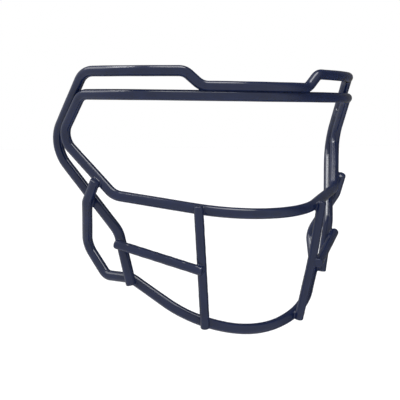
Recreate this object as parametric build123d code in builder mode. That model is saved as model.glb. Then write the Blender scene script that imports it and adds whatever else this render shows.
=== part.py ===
# Face guard of an american football helmet: seven bent steel wires, welded where they cross.
#
# Millimetres. +Z is up, the front of the guard faces -Y, and the guard is mirror-symmetric
# about X = 0. The origin is the middle of its bounding box. The wearer's left is +X.
# Every wire is drawn at the outer diameter of its coat, which is the size that clips meet.
from build123d import *
import os

os.makedirs("parts", exist_ok=True)

# ---- driving dimensions ----------------------------------------------------------------
HEAVY = 6.8            # coated diameter of the three long wires
LIGHT = 6.0            # coated diameter of the short bars
CUT_EDGE = 0.8         # rounding of a sheared wire end under its coat
SEAM = 5.7             # from the brow bar's centreline up to the outer wire's
SEAM_FLAT_REACH = (80.0, 60.0)  # sideways and front to back, about the front of the brow
SEAM_FLAT_DROP = 0.25  # its depth under the outer wire, as the brow droops sideways
BEAD = 3.4             # diameter of a weld bead in the groove between two wires
BEAD_LENGTH = 6.0      # length of such a bead
BROW_BEAD_INSET = 2.9  # from the plane of two parallel wires to the bead's centreline
LEG_BEAD_INSET = 2.2   # the same where the wires only touch
BROW_BEAD_PITCH = 27.0 # spacing of the beads along the brow

BROW_Z = 67.2          # height of the brow bar's centreline in the middle
BROW_FRONT_Y = -42.6   # where the brow's two straight halves would meet
BROW_RAKE = 0.40       # how far the brow falls back for each millimetre sideways
BROW_DROOP = 0.004     # how far the brow sinks for each millimetre sideways
BROW_BEND = 92.0       # bend radius at the middle of the brow
BROW_SIDE_X = 81.0     # where the brow turns back along the head
BROW_SIDE_BEND = 70.0  # bend radius there
NOSE_BEND = 60.0       # bend radius at the middle of the nose bar
CHIN_BEND = 58.0       # bend radius at the middle of the chin bar


def brow(x, above=0.0):
    """Point at a distance x from the middle, on the brow bar's straight half or above it."""
    return (x, BROW_FRONT_Y + BROW_RAKE * x, BROW_Z - BROW_DROOP * x + above)


# ---- routes ----------------------------------------------------------------------------
# A route is the +X half of a wire: its corners in order, each with its bend radius. A free
# end has no bend. Routes run towards the guard's middle.
outer_end = (71.5, 3.2, -55.5)
outer_route = [
    ((78.8, 7.6, -20.9), 13.0),                 # cheek: the leg turns forward and down
    ((108.8, 57.8, 32.4), 19.5),                # temple: the rearmost loop
    ((98.9, 19.6, 81.0), 15.0),                 # upper corner
    (brow(BROW_SIDE_X, 14.5), BROW_SIDE_BEND),
    (brow(47.8, 15.0), 9.0),                    # end of the raised run
    (brow(37.8, SEAM), 11.0),                   # step down on to the brow bar
]
outer_middle = (brow(0.0, SEAM), BROW_BEND)

brow_middle = (brow(0.0), BROW_BEND)
loop_route = [
    (brow(BROW_SIDE_X), BROW_SIDE_BEND),
    ((99.8, 21.8, 66.4), 10.0),                 # upper corner of the eye opening
    ((106.0, 45.0, 38.0), 11.0),                # temple
    ((82.3, 7.3, 2.8), 15.0),                   # cheek, where the nose bar begins
]
nose_middle = ((0.0, -74.7, -8.4), NOSE_BEND)

chin_end = (92.6, 13.6, 11.9)
chin_route = [
    ((94.8, 23.8, -2.9), 11.0),
    ((87.4, 45.9, -34.6), 9.0),                 # rear of the jaw loop
    ((79.9, 27.6, -52.8), 9.0),
    ((69.0, 9.2, -52.2), 10.0),                 # under the outer wire's end
    ((41.6, -23.8, -74.6), 66.0),
]
chin_middle = ((0.0, -37.1, -84.5), CHIN_BEND)

upright_top = (44.0, -38.9, -0.1)
upright_waist = ((39.8, -36.4, -38.7), 300.0)
upright_foot = (34.0, -30.5, -79.5)

side_rear = (82.3, 4.3, -28.1)
side_front = (41.3, -41.2, -40.6)


def mirrored(point):
    """The same point on the -X half."""
    return (-point[0], point[1], point[2])


def mirrored_route(route):
    """A route's corners on the -X half, from the middle out to the end."""
    return [(mirrored(corner), bend) for corner, bend in reversed(route)]


def points(route):
    return [corner for corner, bend in route]


def bends(route):
    return [bend for corner, bend in route]


def end_edges(wire):
    """The round edges of a wire's two sheared ends."""
    return wire.faces().filter_by(GeomType.PLANE).edges()


# ---- the closed loop round the eyes: brow bar, two temples, nose bar -------------------
# The outer wire is welded down on the brow bar, steel against steel, and the two coats are
# one there, so the brow bar has a flat along its top in which the outer wire beds.
loop_corners = [brow_middle] + loop_route + [nose_middle] + mirrored_route(loop_route)

with BuildPart() as eye_loop_wire:
    with BuildLine():
        loop_path = FilletPolyline(*points(loop_corners), radius=bends(loop_corners), close=True)
    with BuildSketch(Plane(origin=loop_path @ 0, z_dir=loop_path % 0)):
        Circle(HEAVY / 2)
    sweep(path=loop_path)
    with Locations((0, BROW_FRONT_Y, BROW_Z + SEAM - HEAVY / 2 - SEAM_FLAT_DROP)):
        Box(
            *SEAM_FLAT_REACH,
            HEAVY,
            align=(Align.CENTER, Align.CENTER, Align.MIN),
            mode=Mode.SUBTRACT,
        )
eye_loop_wire.part.label = "eye_loop_wire"

# ---- the outer wire: raised brow runs, temple loops and the two lower legs -------------
outer_corners = outer_route + [outer_middle] + mirrored_route(outer_route)

with BuildPart() as outer_wire:
    with BuildLine():
        outer_path = FilletPolyline(
            outer_end, *points(outer_corners), mirrored(outer_end), radius=bends(outer_corners)
        )
    with BuildSketch(Plane(origin=outer_path @ 0, z_dir=outer_path % 0)):
        Circle(HEAVY / 2)
    sweep(path=outer_path)
    fillet(end_edges(outer_wire), CUT_EDGE)
outer_wire.part.label = "outer_wire"

# ---- the chin wire: jaw loops and chin bar ---------------------------------------------
# It lies outside the eye loop and the outer wire and is pressed into them at each weld, so
# it carries the shallow saddle of every crossing.
chin_corners = chin_route + [chin_middle] + mirrored_route(chin_route)

with BuildPart() as chin_wire:
    with BuildLine():
        chin_path = FilletPolyline(
            chin_end, *points(chin_corners), mirrored(chin_end), radius=bends(chin_corners)
        )
    with BuildSketch(Plane(origin=chin_path @ 0, z_dir=chin_path % 0)):
        Circle(HEAVY / 2)
    sweep(path=chin_path)
    fillet(end_edges(chin_wire), CUT_EDGE)
    add(eye_loop_wire.part, mode=Mode.SUBTRACT)
    add(outer_wire.part, mode=Mode.SUBTRACT)
chin_wire.part.label = "chin_wire"

# ---- the two upright bars between the nose bar and the chin bar ------------------------
with BuildPart() as left_vertical_bar:
    with BuildLine():
        upright_path = FilletPolyline(
            upright_top, upright_waist[0], upright_foot, radius=upright_waist[1]
        )
    with BuildSketch(Plane(origin=upright_path @ 0, z_dir=upright_path % 0)):
        Circle(LIGHT / 2)
    sweep(path=upright_path)
    fillet(end_edges(left_vertical_bar), CUT_EDGE)
    add(eye_loop_wire.part, mode=Mode.SUBTRACT)
    add(chin_wire.part, mode=Mode.SUBTRACT)
left_vertical_bar.part.label = "left_vertical_bar"

# ---- the two side bars between the outer wire's legs and the uprights ------------------
with BuildPart() as left_side_bar:
    with BuildLine():
        side_path = Line(side_rear, side_front)
    with BuildSketch(Plane(origin=side_path @ 0, z_dir=side_path % 0)):
        Circle(LIGHT / 2)
    sweep(path=side_path)
    fillet(end_edges(left_side_bar), CUT_EDGE)
    add(outer_wire.part, mode=Mode.SUBTRACT)
    add(left_vertical_bar.part, mode=Mode.SUBTRACT)
left_side_bar.part.label = "left_side_bar"

with BuildPart() as right_vertical_bar:
    add(mirror(left_vertical_bar.part, about=Plane.YZ, mode=Mode.PRIVATE))
right_vertical_bar.part.label = "right_vertical_bar"

with BuildPart() as right_side_bar:
    add(mirror(left_side_bar.part, about=Plane.YZ, mode=Mode.PRIVATE))
right_side_bar.part.label = "right_side_bar"


# ---- weld beads ------------------------------------------------------------------------
# Where two wires run side by side, short beads fill the groove on their inner side.
LEG_SEAM = (103.1, 35.1, 55.8)      # between the eye loop and the outer wire at the temple
LEG_ALONG = (0.16, 0.61, -0.78)     # both wires run this way there
LEG_INWARD = (-0.98, 0.18, -0.06)    # from the plane of the two wires towards the head


def bead(centre, along):
    """A round-ended bead, its middle at centre and its length along a direction."""
    across = Plane(origin=centre, z_dir=along)
    core = BEAD_LENGTH - BEAD
    with Locations(across.location):
        Cylinder(BEAD / 2, core)
    for end in (-core / 2, core / 2):
        with Locations(across.offset(end).location):
            Sphere(BEAD / 2)


with BuildPart() as brow_seam_welds:
    for place in (-1, 0, 1):
        along_wire = 0.5 + place * BROW_BEAD_PITCH / outer_path.length
        along = outer_path.tangent_at(along_wire)
        inward = Vector(0, 0, 1).cross(along)
        inward = inward if inward.Y > 0 else -inward
        seam = outer_path.position_at(along_wire) - Vector(0, 0, SEAM / 2)
        bead(seam + inward.normalized() * BROW_BEAD_INSET, along)
    add(eye_loop_wire.part, mode=Mode.SUBTRACT)
    add(outer_wire.part, mode=Mode.SUBTRACT)
brow_seam_welds.part.label = "brow_seam_welds"

with BuildPart() as temple_leg_welds:
    left_bead = Vector(LEG_SEAM) + Vector(LEG_INWARD) * LEG_BEAD_INSET
    bead(left_bead, LEG_ALONG)
    bead(mirrored(tuple(left_bead)), mirrored(LEG_ALONG))
    add(eye_loop_wire.part, mode=Mode.SUBTRACT)
    add(outer_wire.part, mode=Mode.SUBTRACT)
temple_leg_welds.part.label = "temple_leg_welds"

for piece in (
    eye_loop_wire,
    outer_wire,
    chin_wire,
    left_vertical_bar,
    right_vertical_bar,
    left_side_bar,
    right_side_bar,
    brow_seam_welds,
    temple_leg_welds,
):
    export_step(piece.part, f"parts/{piece.part.label}.step")
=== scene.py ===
"""Face guard of an american football helmet, in its dipped navy coat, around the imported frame.

Metres, in the frame's own axes: +Z up, the guard's front faces -Y, mirror-symmetric about X = 0.
Each wire is a swept tube with sheared, coated ends. Each weld gets the smooth web of coat that
gathers in the groove between two wires.
"""
from collections import namedtuple
import math
import bmesh
import bpy
import numpy as np
from mathutils import Matrix, Vector


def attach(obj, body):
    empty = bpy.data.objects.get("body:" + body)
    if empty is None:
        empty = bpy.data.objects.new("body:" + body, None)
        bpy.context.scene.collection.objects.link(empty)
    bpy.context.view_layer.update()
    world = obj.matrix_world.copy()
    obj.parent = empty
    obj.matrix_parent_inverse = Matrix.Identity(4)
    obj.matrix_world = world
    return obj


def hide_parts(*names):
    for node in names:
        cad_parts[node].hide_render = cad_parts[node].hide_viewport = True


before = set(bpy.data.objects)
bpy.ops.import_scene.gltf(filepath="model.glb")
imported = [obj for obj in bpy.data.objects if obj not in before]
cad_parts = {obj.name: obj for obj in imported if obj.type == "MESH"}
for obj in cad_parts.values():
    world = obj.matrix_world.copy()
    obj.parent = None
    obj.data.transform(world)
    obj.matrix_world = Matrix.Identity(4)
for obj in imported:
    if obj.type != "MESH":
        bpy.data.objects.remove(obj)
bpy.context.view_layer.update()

MM = 0.001

# ---- wire sizes ------------------------------------------------------------------------
HEAVY = 6.8 * MM                # coated diameter of the three long wires
LIGHT = 6.0 * MM                # coated diameter of the short bars
CUT_EDGE = 1.0 * MM             # rounding of a sheared end with its coat
CUT_DOME = 0.22 * MM            # how far the coat bulges over a sheared end

# ---- brow and bends, in millimetres as in the part -------------------------------------
SEAM = 5.7                      # from the brow bar's centreline up to the outer wire's
BROW_Z = 67.2                   # height of the brow bar's centreline in the middle
BROW_FRONT_Y = -42.6            # where the brow's two straight halves would meet
BROW_RAKE = 0.40                # how far the brow falls back for each millimetre sideways
BROW_DROOP = 0.004              # how far the brow sinks for each millimetre sideways
BROW_BEND = 92.0                # bend radius at the middle of the brow
BROW_SIDE_X = 81.0              # where the brow turns back along the head
BROW_SIDE_BEND = 70.0           # bend radius there
NOSE_BEND = 60.0                # bend radius at the middle of the nose bar
CHIN_BEND = 58.0                # bend radius at the middle of the chin bar

# ---- weld beads, in millimetres as in the part -----------------------------------------
BEAD = 3.4                      # diameter of a bead in the groove between two wires
BEAD_LENGTH = 6.0
BROW_BEAD_INSET = 2.9           # from the plane of two parallel wires to the bead's centreline
LEG_BEAD_INSET = 2.2            # the same where the wires only touch
BROW_BEAD_PITCH = 27.0          # spacing of the beads along the brow
LEG_SEAM = Vector((103.1, 35.1, 55.8))      # between eye loop and outer wire at the temple
LEG_ALONG = Vector((0.16, 0.61, -0.78))     # both wires run this way there
LEG_INWARD = Vector((-0.98, 0.18, -0.06))   # from the plane of the two wires to the head

# ---- tube meshes -----------------------------------------------------------------------
AROUND = 72                     # faces round a wire
STEP = 1.1 * MM                 # length of a face along a wire
FEWEST_BEND_STEPS = 4           # points of the shortest arc, less one
EDGE_STEPS = 6                  # faces round a sheared edge
DOME_SHARES = (0.8, 0.6, 0.4, 0.2)          # rings inside that edge, as shares of its radius
ANY_DIRECTION = (0.31, 0.87, 0.38)          # for the first ring; no wire starts along it
COAT_SWELL = 0.035 * MM         # slow variation of the coat's thickness
SWELL_WAVES = (3, 7, 13, 23)    # numbers of waves that it has along a wire

# ---- webs of coat at the welds ---------------------------------------------------------
WEB_VOXEL = 0.34 * MM
WEB_REACH = 8.0 * MM            # how much of each wire is taken on either side of a crossing
WEB_SMOOTHING = 26              # rounds of smoothing at a crossing and at the temples
SEAM_SMOOTHING = 5              # rounds along the brow, whose groove stays sharp
SMOOTHING_STRENGTH = 0.5        # of each round
SEAM_FILL = 3.2 * MM            # radius of the brow wires inside their web, so it stays deep
TOUCH = 6.2 * MM                # centrelines nearer than this belong to wires pressed together
# These two boxes are in millimetres. One holds the stretch where the outer wire lies on the brow
# bar, and the other reaches this far each way from LEG_SEAM.
BROW_SEAM_LOW = (-44.0, -60.0, 60.0)
BROW_SEAM_HIGH = (44.0, -10.0, 79.0)
LEG_SEAM_REACH = Vector((12.0, 9.0, 10.0))

# ---- finish of the coat ----------------------------------------------------------------
NAVY_DEEP = (0.0045, 0.0106, 0.043, 1)      # linear
NAVY_PALE = (0.0060, 0.0138, 0.056, 1)
ROUGHNESS_NEW = 0.09
ROUGHNESS_RUBBED = 0.18
HAZE_ADDS = 0.04                # to the roughness
NOISE_SPREAD = (0.3, 0.7)       # nearly all of a noise's values lie between these
RUBBED_SPREAD = (0.5, 0.614)    # the part of them where a rubbed patch fades in
COAT_IOR = 1.5
CLEAR_WEIGHT = 0.2              # of the clear top of the coat
CLEAR_ROUGHNESS = 0.10
# A pattern is the size of its patches and their detail.
TINT = (9 * MM, 4)
RUBBED = (26 * MM, 5)
HAZE = (1.6 * MM, 3)
# A relief is the size of its features, their detail and their height.
SAG = (7 * MM, 1, 0.03 * MM)
ORANGE_PEEL = (2.2 * MM, 2, 0.003 * MM)
GRAIN = (0.25 * MM, 2, 0.0002 * MM)

# ---- stage -----------------------------------------------------------------------------
FLOOR_Z = -0.36
FLOOR_REACH = 6.0               # from its middle to each side
FLOOR_COLOUR = (0.96, 0.96, 0.96, 1)
FLOOR_ROUGHNESS = 0.9
WHITE = 1.0                     # brightness of the background
ROOM_DIM = 0.62                 # and of the surroundings that the coat mirrors
ROOM_FLAG = 0.12                # and of the dark flag on one side of them
FLAG_TOWARDS = (0.80, 0.55, 0.10)
FLAG_EDGES = (0.10, 0.75)       # cosines of the angles where the flag starts and is darkest
SOFTBOXES = (                   # name, direction, half-angle in degrees, radiance
    ("overhead_softbox", (0.07, -0.09, 1.0), 15, 5.0),
    ("side_softbox", (-0.55, 0.36, 0.75), 20, 2.4),
    ("key_light", (-0.32, 0.26, 0.91), 8, 10.0),
)

# ---- camera ----------------------------------------------------------------------------
AIM = Vector((-13.192, 26.2, -4.583)) * MM
AZIMUTH = math.radians(-24.61)
ELEVATION = math.radians(6.475)
ROLL = math.radians(0.966)
DISTANCE = 648.9 * MM
LENS = 84.95                    # millimetres, as is the sensor's width
SENSOR = 36.0


# ======== routes ========================================================================
# The +X half of each wire, in millimetres: its corners in order, each with its bend radius.
def brow(x, above=0.0):
    """Point at a distance x from the middle, on the brow bar's straight half or above it."""
    return (x, BROW_FRONT_Y + BROW_RAKE * x, BROW_Z - BROW_DROOP * x + above)


outer_end = (71.5, 3.2, -55.5)
outer_half = [
    ((78.8, 7.6, -20.9), 13.0),                 # cheek: the leg turns forward and down
    ((108.8, 57.8, 32.4), 19.5),                # temple: the rearmost loop
    ((98.9, 19.6, 81.0), 15.0),                 # upper corner
    (brow(BROW_SIDE_X, 14.5), BROW_SIDE_BEND),
    (brow(47.8, 15.0), 9.0),                    # end of the raised run
    (brow(37.8, SEAM), 11.0),                   # step down on to the brow bar
]
outer_middle = (brow(0.0, SEAM), BROW_BEND)

brow_middle = (brow(0.0), BROW_BEND)
loop_half = [
    (brow(BROW_SIDE_X), BROW_SIDE_BEND),
    ((99.8, 21.8, 66.4), 10.0),                 # upper corner of the eye opening
    ((106.0, 45.0, 38.0), 11.0),                # temple
    ((82.3, 7.3, 2.8), 15.0),                   # cheek, where the nose bar begins
]
nose_middle = ((0.0, -74.7, -8.4), NOSE_BEND)

chin_end = (92.6, 13.6, 11.9)
chin_half = [
    ((94.8, 23.8, -2.9), 11.0),
    ((87.4, 45.9, -34.6), 9.0),                 # rear of the jaw loop
    ((79.9, 27.6, -52.8), 9.0),
    ((69.0, 9.2, -52.2), 10.0),                 # under the outer wire's end
    ((41.6, -23.8, -74.6), 66.0),
]
chin_middle = ((0.0, -37.1, -84.5), CHIN_BEND)

upright_top = (44.0, -38.9, -0.1)
upright_waist = ((39.8, -36.4, -38.7), 300.0)
upright_foot = (34.0, -30.5, -79.5)

side_rear = (82.3, 4.3, -28.1)
side_front = (41.3, -41.2, -40.6)


def mirrored(point):
    """The same point on the -X half."""
    return (-point[0], point[1], point[2])


def mirrored_route(route):
    """A route's corners on the -X half, from the middle out to the end."""
    return [(mirrored(corner), bend) for corner, bend in reversed(route)]


def free(point):
    """A free end: a corner with no bend."""
    return (point, 0.0)


def open_route(end, half, middle):
    """Every corner of a symmetric wire with two free ends."""
    return [free(end), *half, middle, *mirrored_route(half), free(mirrored(end))]


# ======== centrelines ===================================================================
def bend_points(before, corner, after, radius):
    """Points of the arc that rounds a corner, in metres."""
    into = (before - corner).normalized()
    out = (after - corner).normalized()
    half_inside = into.angle(out) / 2
    turn = math.pi - 2 * half_inside
    tangent = radius * math.tan(turn / 2)
    centre = corner + (into + out).normalized() * (radius / math.sin(half_inside))
    start = corner + into * tangent - centre
    axis = start.cross(corner + out * tangent - centre).normalized()
    count = max(FEWEST_BEND_STEPS, math.ceil(radius * turn / STEP))
    return [centre + Matrix.Rotation(turn * k / count, 3, axis) @ start for k in range(count + 1)]


def lengths_along(line):
    """How far each point of a line is from its first one, along the line."""
    return np.r_[0, np.cumsum(np.linalg.norm(np.diff(line, axis=0), axis=1))]


def centreline(corners, closed=False):
    """Evenly stepped points along straight runs joined by tangent arcs."""
    spots = [Vector(corner) * MM for corner, bend in corners]
    count = len(spots)
    rough = []
    for k, (corner, bend) in enumerate(corners):
        if bend == 0.0:
            rough.append(spots[k])
        else:
            rough += bend_points(spots[k - 1], spots[k], spots[(k + 1) % count], bend * MM)
    if closed:
        rough.append(rough[0])
    rough = np.array([list(point) for point in rough])
    lengths = lengths_along(rough)
    steps = np.linspace(0, lengths[-1], math.ceil(lengths[-1] / STEP) + 1)
    line = np.column_stack([np.interp(steps, lengths, rough[:, axis]) for axis in range(3)])
    return line[:-1] if closed else line


# ======== tubes =========================================================================
def frames(line, closed):
    """Tangent, normal and side vector at each point, turning as little as possible."""
    ahead = np.roll(line, -1, 0) - np.roll(line, 1, 0)
    if not closed:
        ahead[0] = line[1] - line[0]
        ahead[-1] = line[-1] - line[-2]
    tangents = ahead / np.linalg.norm(ahead, axis=1)[:, None]
    normal = np.cross(tangents[0], ANY_DIRECTION)
    normal /= np.linalg.norm(normal)
    normals = [normal]
    for tangent in tangents[1:]:
        normal = normal - tangent * (normal @ tangent)
        normal /= np.linalg.norm(normal)
        normals.append(normal)
    normals = np.array(normals)
    if closed:
        side = np.cross(tangents[0], normals[0])
        drift = math.atan2(normals[-1] @ side, normals[-1] @ normals[0])
        turn = -drift * np.arange(len(line))[:, None] / len(line)
        normals = normals * np.cos(turn) + np.cross(tangents, normals) * np.sin(turn)
    return tangents, normals, np.cross(tangents, normals)


def swell(lengths, total, seed):
    """Slow changes of the coat's thickness along a wire, the same at both ends of a loop."""
    rng = np.random.default_rng(seed)
    change = np.zeros_like(lengths)
    for waves in SWELL_WAVES:
        height = rng.normal()
        phase = rng.uniform(0, 2 * math.pi)
        change += height * np.sin(2 * math.pi * waves * lengths / total + phase)
    return change * COAT_SWELL / 2


def end_rings(point, outward, radius):
    """Rings (centre, radius) from a wire's side round its sheared edge to the middle of its end."""
    rings = []
    for k in range(EDGE_STEPS + 1):
        angle = math.pi / 2 * k / EDGE_STEPS
        along = CUT_EDGE * (math.sin(angle) - 1)
        rings.append((point + outward * along, radius - CUT_EDGE * (1 - math.cos(angle))))
    for share in DOME_SHARES:
        centre = point + outward * CUT_DOME * (1 - share * share)
        rings.append((centre, (radius - CUT_EDGE) * share))
    return rings


def ring_faces(first, second):
    """Faces between two rings, given the index of each ring's first vertex."""
    faces = []
    for j in range(AROUND):
        after = (j + 1) % AROUND
        faces.append((first + j, first + after, second + after, second + j))
    return faces


def tip_faces(first, tip, sense):
    """Faces between a ring and the vertex at a wire's tip. A sense of 1 or -1 turns them outward."""
    pairs = [(first + j, first + (j + 1) % AROUND) for j in range(AROUND)]
    return [(*pair[::sense], tip) for pair in pairs]


def tube(line, radius, closed=False, seed=None):
    """Vertices and faces of a wire. Its free ends are rounded and closed."""
    tangents, normals, sides = frames(line, closed)
    lengths = lengths_along(line)
    total = lengths[-1] + (np.linalg.norm(line[0] - line[-1]) if closed else 0)
    radii = np.full(len(line), radius)
    if seed is not None:
        radii = radii + swell(lengths, total, seed)

    rings = [(line[k], normals[k], sides[k], radii[k]) for k in range(len(line))]
    if not closed:
        rings = [rings[k] for k in range(len(line)) if CUT_EDGE < lengths[k] < total - CUT_EDGE]
        for centre, size in end_rings(line[0], -tangents[0], radii[0]):
            rings.insert(0, (centre, normals[0], sides[0], size))
        for centre, size in end_rings(line[-1], tangents[-1], radii[-1]):
            rings.append((centre, normals[-1], sides[-1], size))

    angles = np.arange(AROUND) * 2 * math.pi / AROUND
    vertices = []
    for centre, normal, side, size in rings:
        ring = centre + size * (np.outer(np.cos(angles), normal) + np.outer(np.sin(angles), side))
        vertices.extend(ring.tolist())

    starts = [k * AROUND for k in range(len(rings))]
    ahead = starts[1:] + starts[:1] if closed else starts[1:]
    faces = []
    for first, second in zip(starts, ahead):
        faces += ring_faces(first, second)
    if not closed:
        faces += tip_faces(starts[0], len(vertices), -1)
        vertices.append(list(line[0] - tangents[0] * CUT_DOME))
        faces += tip_faces(starts[-1], len(vertices), 1)
        vertices.append(list(line[-1] + tangents[-1] * CUT_DOME))
    return vertices, faces


def mesh_object(name, vertices, faces):
    """A smooth-shaded object from plain data, linked to the scene."""
    mesh = bpy.data.meshes.new(name)
    mesh.from_pydata(vertices, [], faces)
    mesh.shade_smooth()
    piece = bpy.data.objects.new(name, mesh)
    bpy.context.collection.objects.link(piece)
    return piece


# ======== webs of coat ==================================================================
def meetings(first, second):
    """Each place on the wearer's left where two centrelines meet: an index into each."""
    apart = np.linalg.norm(first[:, None, :] - second[None, :, :], axis=2)
    nearest = apart.min(axis=1)
    close = np.flatnonzero((nearest < TOUCH) & (first[:, 0] > 0))
    runs = np.split(close, np.flatnonzero(np.diff(close) > 1) + 1)
    middles = [run[nearest[run].argmin()] for run in runs]
    return [(middle, apart[middle].argmin()) for middle in middles]


def stretch(wire, middle):
    """The part of a wire that a web covers about one of its points: a line and its radius."""
    count = math.ceil(WEB_REACH / STEP)
    if wire.closed:
        line = wire.line[np.arange(middle - count, middle + count + 1) % len(wire.line)]
    else:
        line = wire.line[max(middle - count, 0):middle + count + 1]
    return line, wire.diameter / 2


def line_in_box(line, low, high):
    """The points of a line inside a box that is given in millimetres."""
    inside = (line > np.array(low) * MM) & (line < np.array(high) * MM)
    return line[np.all(inside, axis=1)]


def bead(centre, along):
    """A short weld bead, as a line in metres and its radius."""
    half = Vector(along).normalized() * BEAD_LENGTH / 2
    ends = [Vector(centre) - half, Vector(centre) + half]
    return np.array([list(end * MM) for end in ends]), BEAD / 2 * MM


def drop_specks(mesh):
    """Leave only the largest connected skin: a remesh can trap a speck of surface inside it."""
    work = bmesh.new()
    work.from_mesh(mesh)
    unseen = set(work.verts)
    skins = []
    while unseen:
        skin = [unseen.pop()]
        for here in skin:               # it grows as it is walked
            for there in [edge.other_vert(here) for edge in here.link_edges]:
                if there in unseen:
                    unseen.remove(there)
                    skin.append(there)
        skins.append(skin)
    skins.sort(key=len)
    specks = [vertex for skin in skins[:-1] for vertex in skin]
    bmesh.ops.delete(work, geom=specks, context="VERTS")
    work.to_mesh(mesh)
    work.free()


def web(name, bits, smoothing=WEB_SMOOTHING):
    """One smooth skin over pieces of wire: it fills the groove between them and sinks into them."""
    vertices = []
    faces = []
    for line, radius in bits:
        more, sides = tube(line, radius)
        faces += [tuple(len(vertices) + corner for corner in side) for side in sides]
        vertices += more
    piece = mesh_object(name, vertices, faces)
    fuse = piece.modifiers.new("fuse", "REMESH")
    fuse.mode = "VOXEL"
    fuse.voxel_size = WEB_VOXEL
    flow = piece.modifiers.new("flow", "SMOOTH")
    flow.factor = SMOOTHING_STRENGTH
    flow.iterations = smoothing
    evaluated = piece.evaluated_get(bpy.context.evaluated_depsgraph_get())
    skin = bpy.data.meshes.new_from_object(evaluated)
    drop_specks(skin)
    skin.shade_smooth()
    piece.modifiers.clear()
    piece.data = skin
    return piece


# ======== finish of the coat ============================================================
def set_inputs(node, values):
    """Set a node's sockets by name."""
    for name, value in values.items():
        node.inputs[name].default_value = value


def coat_material():
    """Glossy navy polymer coat: orange peel, slow sags, fine grain and a few rubbed patches."""
    material = bpy.data.materials.new("dipped_navy_coat")
    material.use_nodes = True
    nodes = material.node_tree.nodes
    links = material.node_tree.links
    shader = nodes["Principled BSDF"]
    place = nodes.new("ShaderNodeTexCoord").outputs["Object"]

    def noise(size, detail):
        texture = nodes.new("ShaderNodeTexNoise")
        set_inputs(texture, {"Scale": 1 / size, "Detail": detail})
        links.new(place, texture.inputs["Vector"])
        return texture.outputs["Fac"]

    def patches(pattern, low, high, spread=NOISE_SPREAD):
        """A value that goes from low to high in soft-edged patches."""
        mapped = nodes.new("ShaderNodeMapRange")
        set_inputs(mapped, {"From Min": spread[0], "From Max": spread[1]})
        set_inputs(mapped, {"To Min": low, "To Max": high})
        links.new(noise(*pattern), mapped.inputs["Value"])
        return mapped.outputs["Result"]

    def relief(size, detail, height, under=None):
        bump = nodes.new("ShaderNodeBump")
        set_inputs(bump, {"Strength": 1.0, "Distance": height})
        links.new(noise(size, detail), bump.inputs["Height"])
        if under is not None:
            links.new(under, bump.inputs["Normal"])
        return bump.outputs["Normal"]

    tint = nodes.new("ShaderNodeMix")
    tint.data_type = "RGBA"
    set_inputs(tint, {"A": NAVY_DEEP, "B": NAVY_PALE})
    links.new(patches(TINT, 0, 1), tint.inputs["Factor"])
    links.new(tint.outputs["Result"], shader.inputs["Base Color"])

    rubbed = patches(RUBBED, ROUGHNESS_NEW, ROUGHNESS_RUBBED, RUBBED_SPREAD)
    roughness = nodes.new("ShaderNodeMath")
    roughness.operation = "ADD"
    links.new(rubbed, roughness.inputs[0])
    links.new(patches(HAZE, 0, HAZE_ADDS), roughness.inputs[1])
    links.new(roughness.outputs["Value"], shader.inputs["Roughness"])

    sag = relief(*SAG)
    peel = relief(*ORANGE_PEEL, under=sag)
    grain = relief(*GRAIN, under=peel)
    links.new(grain, shader.inputs["Normal"])
    links.new(peel, shader.inputs["Coat Normal"])
    set_inputs(shader, {"IOR": COAT_IOR})
    set_inputs(shader, {"Coat Weight": CLEAR_WEIGHT, "Coat Roughness": CLEAR_ROUGHNESS})
    return material


coat = coat_material()


def finish_piece(piece, *nodes):
    """Give a piece its coat and its body, and let it stand for the CAD nodes named."""
    piece.data.materials.clear()
    piece.data.materials.append(coat)
    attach(piece, "root")
    if nodes:
        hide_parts(*nodes)


# ======== the wires =====================================================================
Wire = namedtuple("Wire", "line diameter closed")
ACROSS = np.array((-1.0, 1.0, 1.0))     # mirrors a line to the wearer's right

outer_line = centreline(open_route(outer_end, outer_half, outer_middle))
loop_corners = [brow_middle, *loop_half, nose_middle, *mirrored_route(loop_half)]
loop_line = centreline(loop_corners, closed=True)
chin_line = centreline(open_route(chin_end, chin_half, chin_middle))
upright_line = centreline([free(upright_top), upright_waist, free(upright_foot)])
side_line = centreline([free(side_rear), free(side_front)])

wires = {
    "outer_wire": Wire(outer_line, HEAVY, False),
    "eye_loop_wire": Wire(loop_line, HEAVY, True),
    "chin_wire": Wire(chin_line, HEAVY, False),
    "left_vertical_bar": Wire(upright_line, LIGHT, False),
    "right_vertical_bar": Wire(upright_line * ACROSS, LIGHT, False),
    "left_side_bar": Wire(side_line, LIGHT, False),
    "right_side_bar": Wire(side_line * ACROSS, LIGHT, False),
}
for seed, (node, wire) in enumerate(wires.items()):
    vertices, faces = tube(wire.line, wire.diameter / 2, wire.closed, seed)
    finish_piece(mesh_object(node + "_coated", vertices, faces), node)


# ======== the welds =====================================================================
def both_sides(name, bits):
    """A web on the wearer's left and its mirror image on the right."""
    finish_piece(web("left_" + name, bits))
    finish_piece(web("right_" + name, [(line * ACROSS, radius) for line, radius in bits]))


crossings = [
    ("chin_wire", "eye_loop_wire"),
    ("chin_wire", "outer_wire"),
    ("left_vertical_bar", "eye_loop_wire"),
    ("left_vertical_bar", "chin_wire"),
    ("left_side_bar", "outer_wire"),
    ("left_side_bar", "left_vertical_bar"),
]
for upper, lower in crossings:
    over = wires[upper]
    under = wires[lower]
    pair = f"{upper}_on_{lower}".replace("left_", "")
    for rank, (here, there) in enumerate(meetings(over.line, under.line)):
        both_sides(f"{pair}_web_{rank + 1}", [stretch(over, here), stretch(under, there)])


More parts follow.
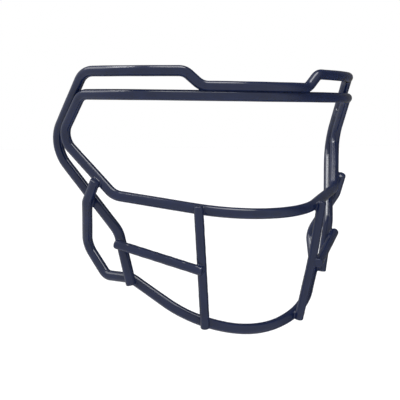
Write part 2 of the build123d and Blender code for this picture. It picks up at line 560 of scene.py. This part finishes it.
# ---- along the brow and at the temples two wires lie side by side, held by inner beads ----
def brow_bead(place):
    """One of the brow's beads, counted from the middle one."""
    x = place * BROW_BEAD_PITCH / math.hypot(1, BROW_RAKE) * MM
    sideways = np.abs(outer_line[:, 0] - x)
    k = int(np.where(outer_line[:, 2] > 0, sideways, np.inf).argmin())
    along = Vector(outer_line[k + 1] - outer_line[k - 1])
    inward = Vector((0, 0, 1)).cross(along).normalized()
    inward = inward if inward.y > 0 else -inward
    seam = Vector(outer_line[k]) / MM - Vector((0, 0, SEAM / 2))
    return bead(seam + inward * BROW_BEAD_INSET, along)


# The loop's line starts half-way along the brow, so it is rolled to keep the brow in one run.
rolled_loop = np.roll(loop_line, len(loop_line) // 2, 0)
seam_bits = [
    (line_in_box(rolled_loop, BROW_SEAM_LOW, BROW_SEAM_HIGH), SEAM_FILL),
    (line_in_box(outer_line, BROW_SEAM_LOW, BROW_SEAM_HIGH), SEAM_FILL),
]
seam_bits += [brow_bead(place) for place in (-1, 0, 1)]
finish_piece(web("brow_seam_web", seam_bits, SEAM_SMOOTHING), "brow_seam_welds")

leg_low = LEG_SEAM - LEG_SEAM_REACH
leg_high = LEG_SEAM + LEG_SEAM_REACH
leg_bits = [
    (line_in_box(outer_line, leg_low, leg_high), HEAVY / 2),
    (line_in_box(loop_line, leg_low, leg_high), HEAVY / 2),
    bead(LEG_SEAM + LEG_INWARD * LEG_BEAD_INSET, LEG_ALONG),
]
both_sides("temple_leg_web", leg_bits)
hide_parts("temple_leg_welds")


# ======== stage =========================================================================
def pale_floor():
    """A plain floor. The coat mirrors the dim room below instead of its brightness."""
    material = bpy.data.materials.new("pale_floor")
    material.use_nodes = True
    shader = material.node_tree.nodes["Principled BSDF"]
    set_inputs(shader, {"Base Color": FLOOR_COLOUR, "Roughness": FLOOR_ROUGHNESS})
    corners = [(-1, -1), (1, -1), (1, 1), (-1, 1)]
    vertices = [(x * FLOOR_REACH, y * FLOOR_REACH, FLOOR_Z) for x, y in corners]
    mesh = bpy.data.meshes.new("floor")
    mesh.from_pydata(vertices, [], [(0, 1, 2, 3)])
    mesh.materials.append(material)
    floor = bpy.data.objects.new("floor", mesh)
    floor.visible_glossy = False
    bpy.context.collection.objects.link(floor)


def softbox(name, towards, half_angle, radiance):
    """A far round light of even brightness that fills a cone about a direction."""
    light = bpy.data.lights.new(name, "SUN")
    light.angle = 2 * math.radians(half_angle)
    light.energy = radiance * math.pi * math.sin(math.radians(half_angle)) ** 2
    lamp = bpy.data.objects.new(name, light)
    lamp.rotation_mode = "QUATERNION"
    lamp.rotation_quaternion = Vector(towards).to_track_quat("Z", "Y")
    bpy.context.collection.objects.link(lamp)


def studio():
    """A dim room with a dark flag on one side for the coat to mirror. The camera sees it white."""
    world = bpy.data.worlds.new("studio")
    world.use_nodes = True
    nodes = world.node_tree.nodes
    links = world.node_tree.links

    towards_flag = nodes.new("ShaderNodeVectorMath")
    towards_flag.operation = "DOT_PRODUCT"
    links.new(nodes.new("ShaderNodeTexCoord").outputs["Generated"], towards_flag.inputs[0])
    towards_flag.inputs[1].default_value = Vector(FLAG_TOWARDS).normalized()

    room = nodes.new("ShaderNodeMapRange")
    room.interpolation_type = "SMOOTHSTEP"
    set_inputs(room, {"From Min": FLAG_EDGES[0], "From Max": FLAG_EDGES[1]})
    set_inputs(room, {"To Min": ROOM_DIM, "To Max": ROOM_FLAG})
    links.new(towards_flag.outputs["Value"], room.inputs["Value"])

    shown = nodes.new("ShaderNodeMix")
    links.new(nodes.new("ShaderNodeLightPath").outputs["Is Camera Ray"], shown.inputs["Factor"])
    links.new(room.outputs["Result"], shown.inputs["A"])
    set_inputs(shown, {"B": WHITE})
    links.new(shown.outputs["Result"], nodes["Background"].inputs["Strength"])
    set_inputs(nodes["Background"], {"Color": (1, 1, 1, 1)})
    return world


pale_floor()
for name, towards, half_angle, radiance in SOFTBOXES:
    softbox(name, towards, half_angle, radiance)
bpy.context.scene.world = studio()
bpy.context.scene.view_settings.view_transform = "Standard"

# ======== camera ========================================================================
forward = Vector((
    -math.sin(AZIMUTH) * math.cos(ELEVATION),
    math.cos(AZIMUTH) * math.cos(ELEVATION),
    -math.sin(ELEVATION),
))
level = Vector((math.cos(AZIMUTH), math.sin(AZIMUTH), 0))
upward = level.cross(forward)
right = level * math.cos(ROLL) + upward * math.sin(ROLL)
top = upward * math.cos(ROLL) - level * math.sin(ROLL)
facing = Matrix((right, top, -forward)).transposed().to_4x4()

lens = bpy.data.cameras.new("camera")
lens.lens = LENS
lens.sensor_width = SENSOR
camera = bpy.data.objects.new("camera", lens)
camera.matrix_world = Matrix.Translation(AIM - forward * DISTANCE) @ facing
bpy.context.collection.objects.link(camera)
bpy.context.scene.camera = camera
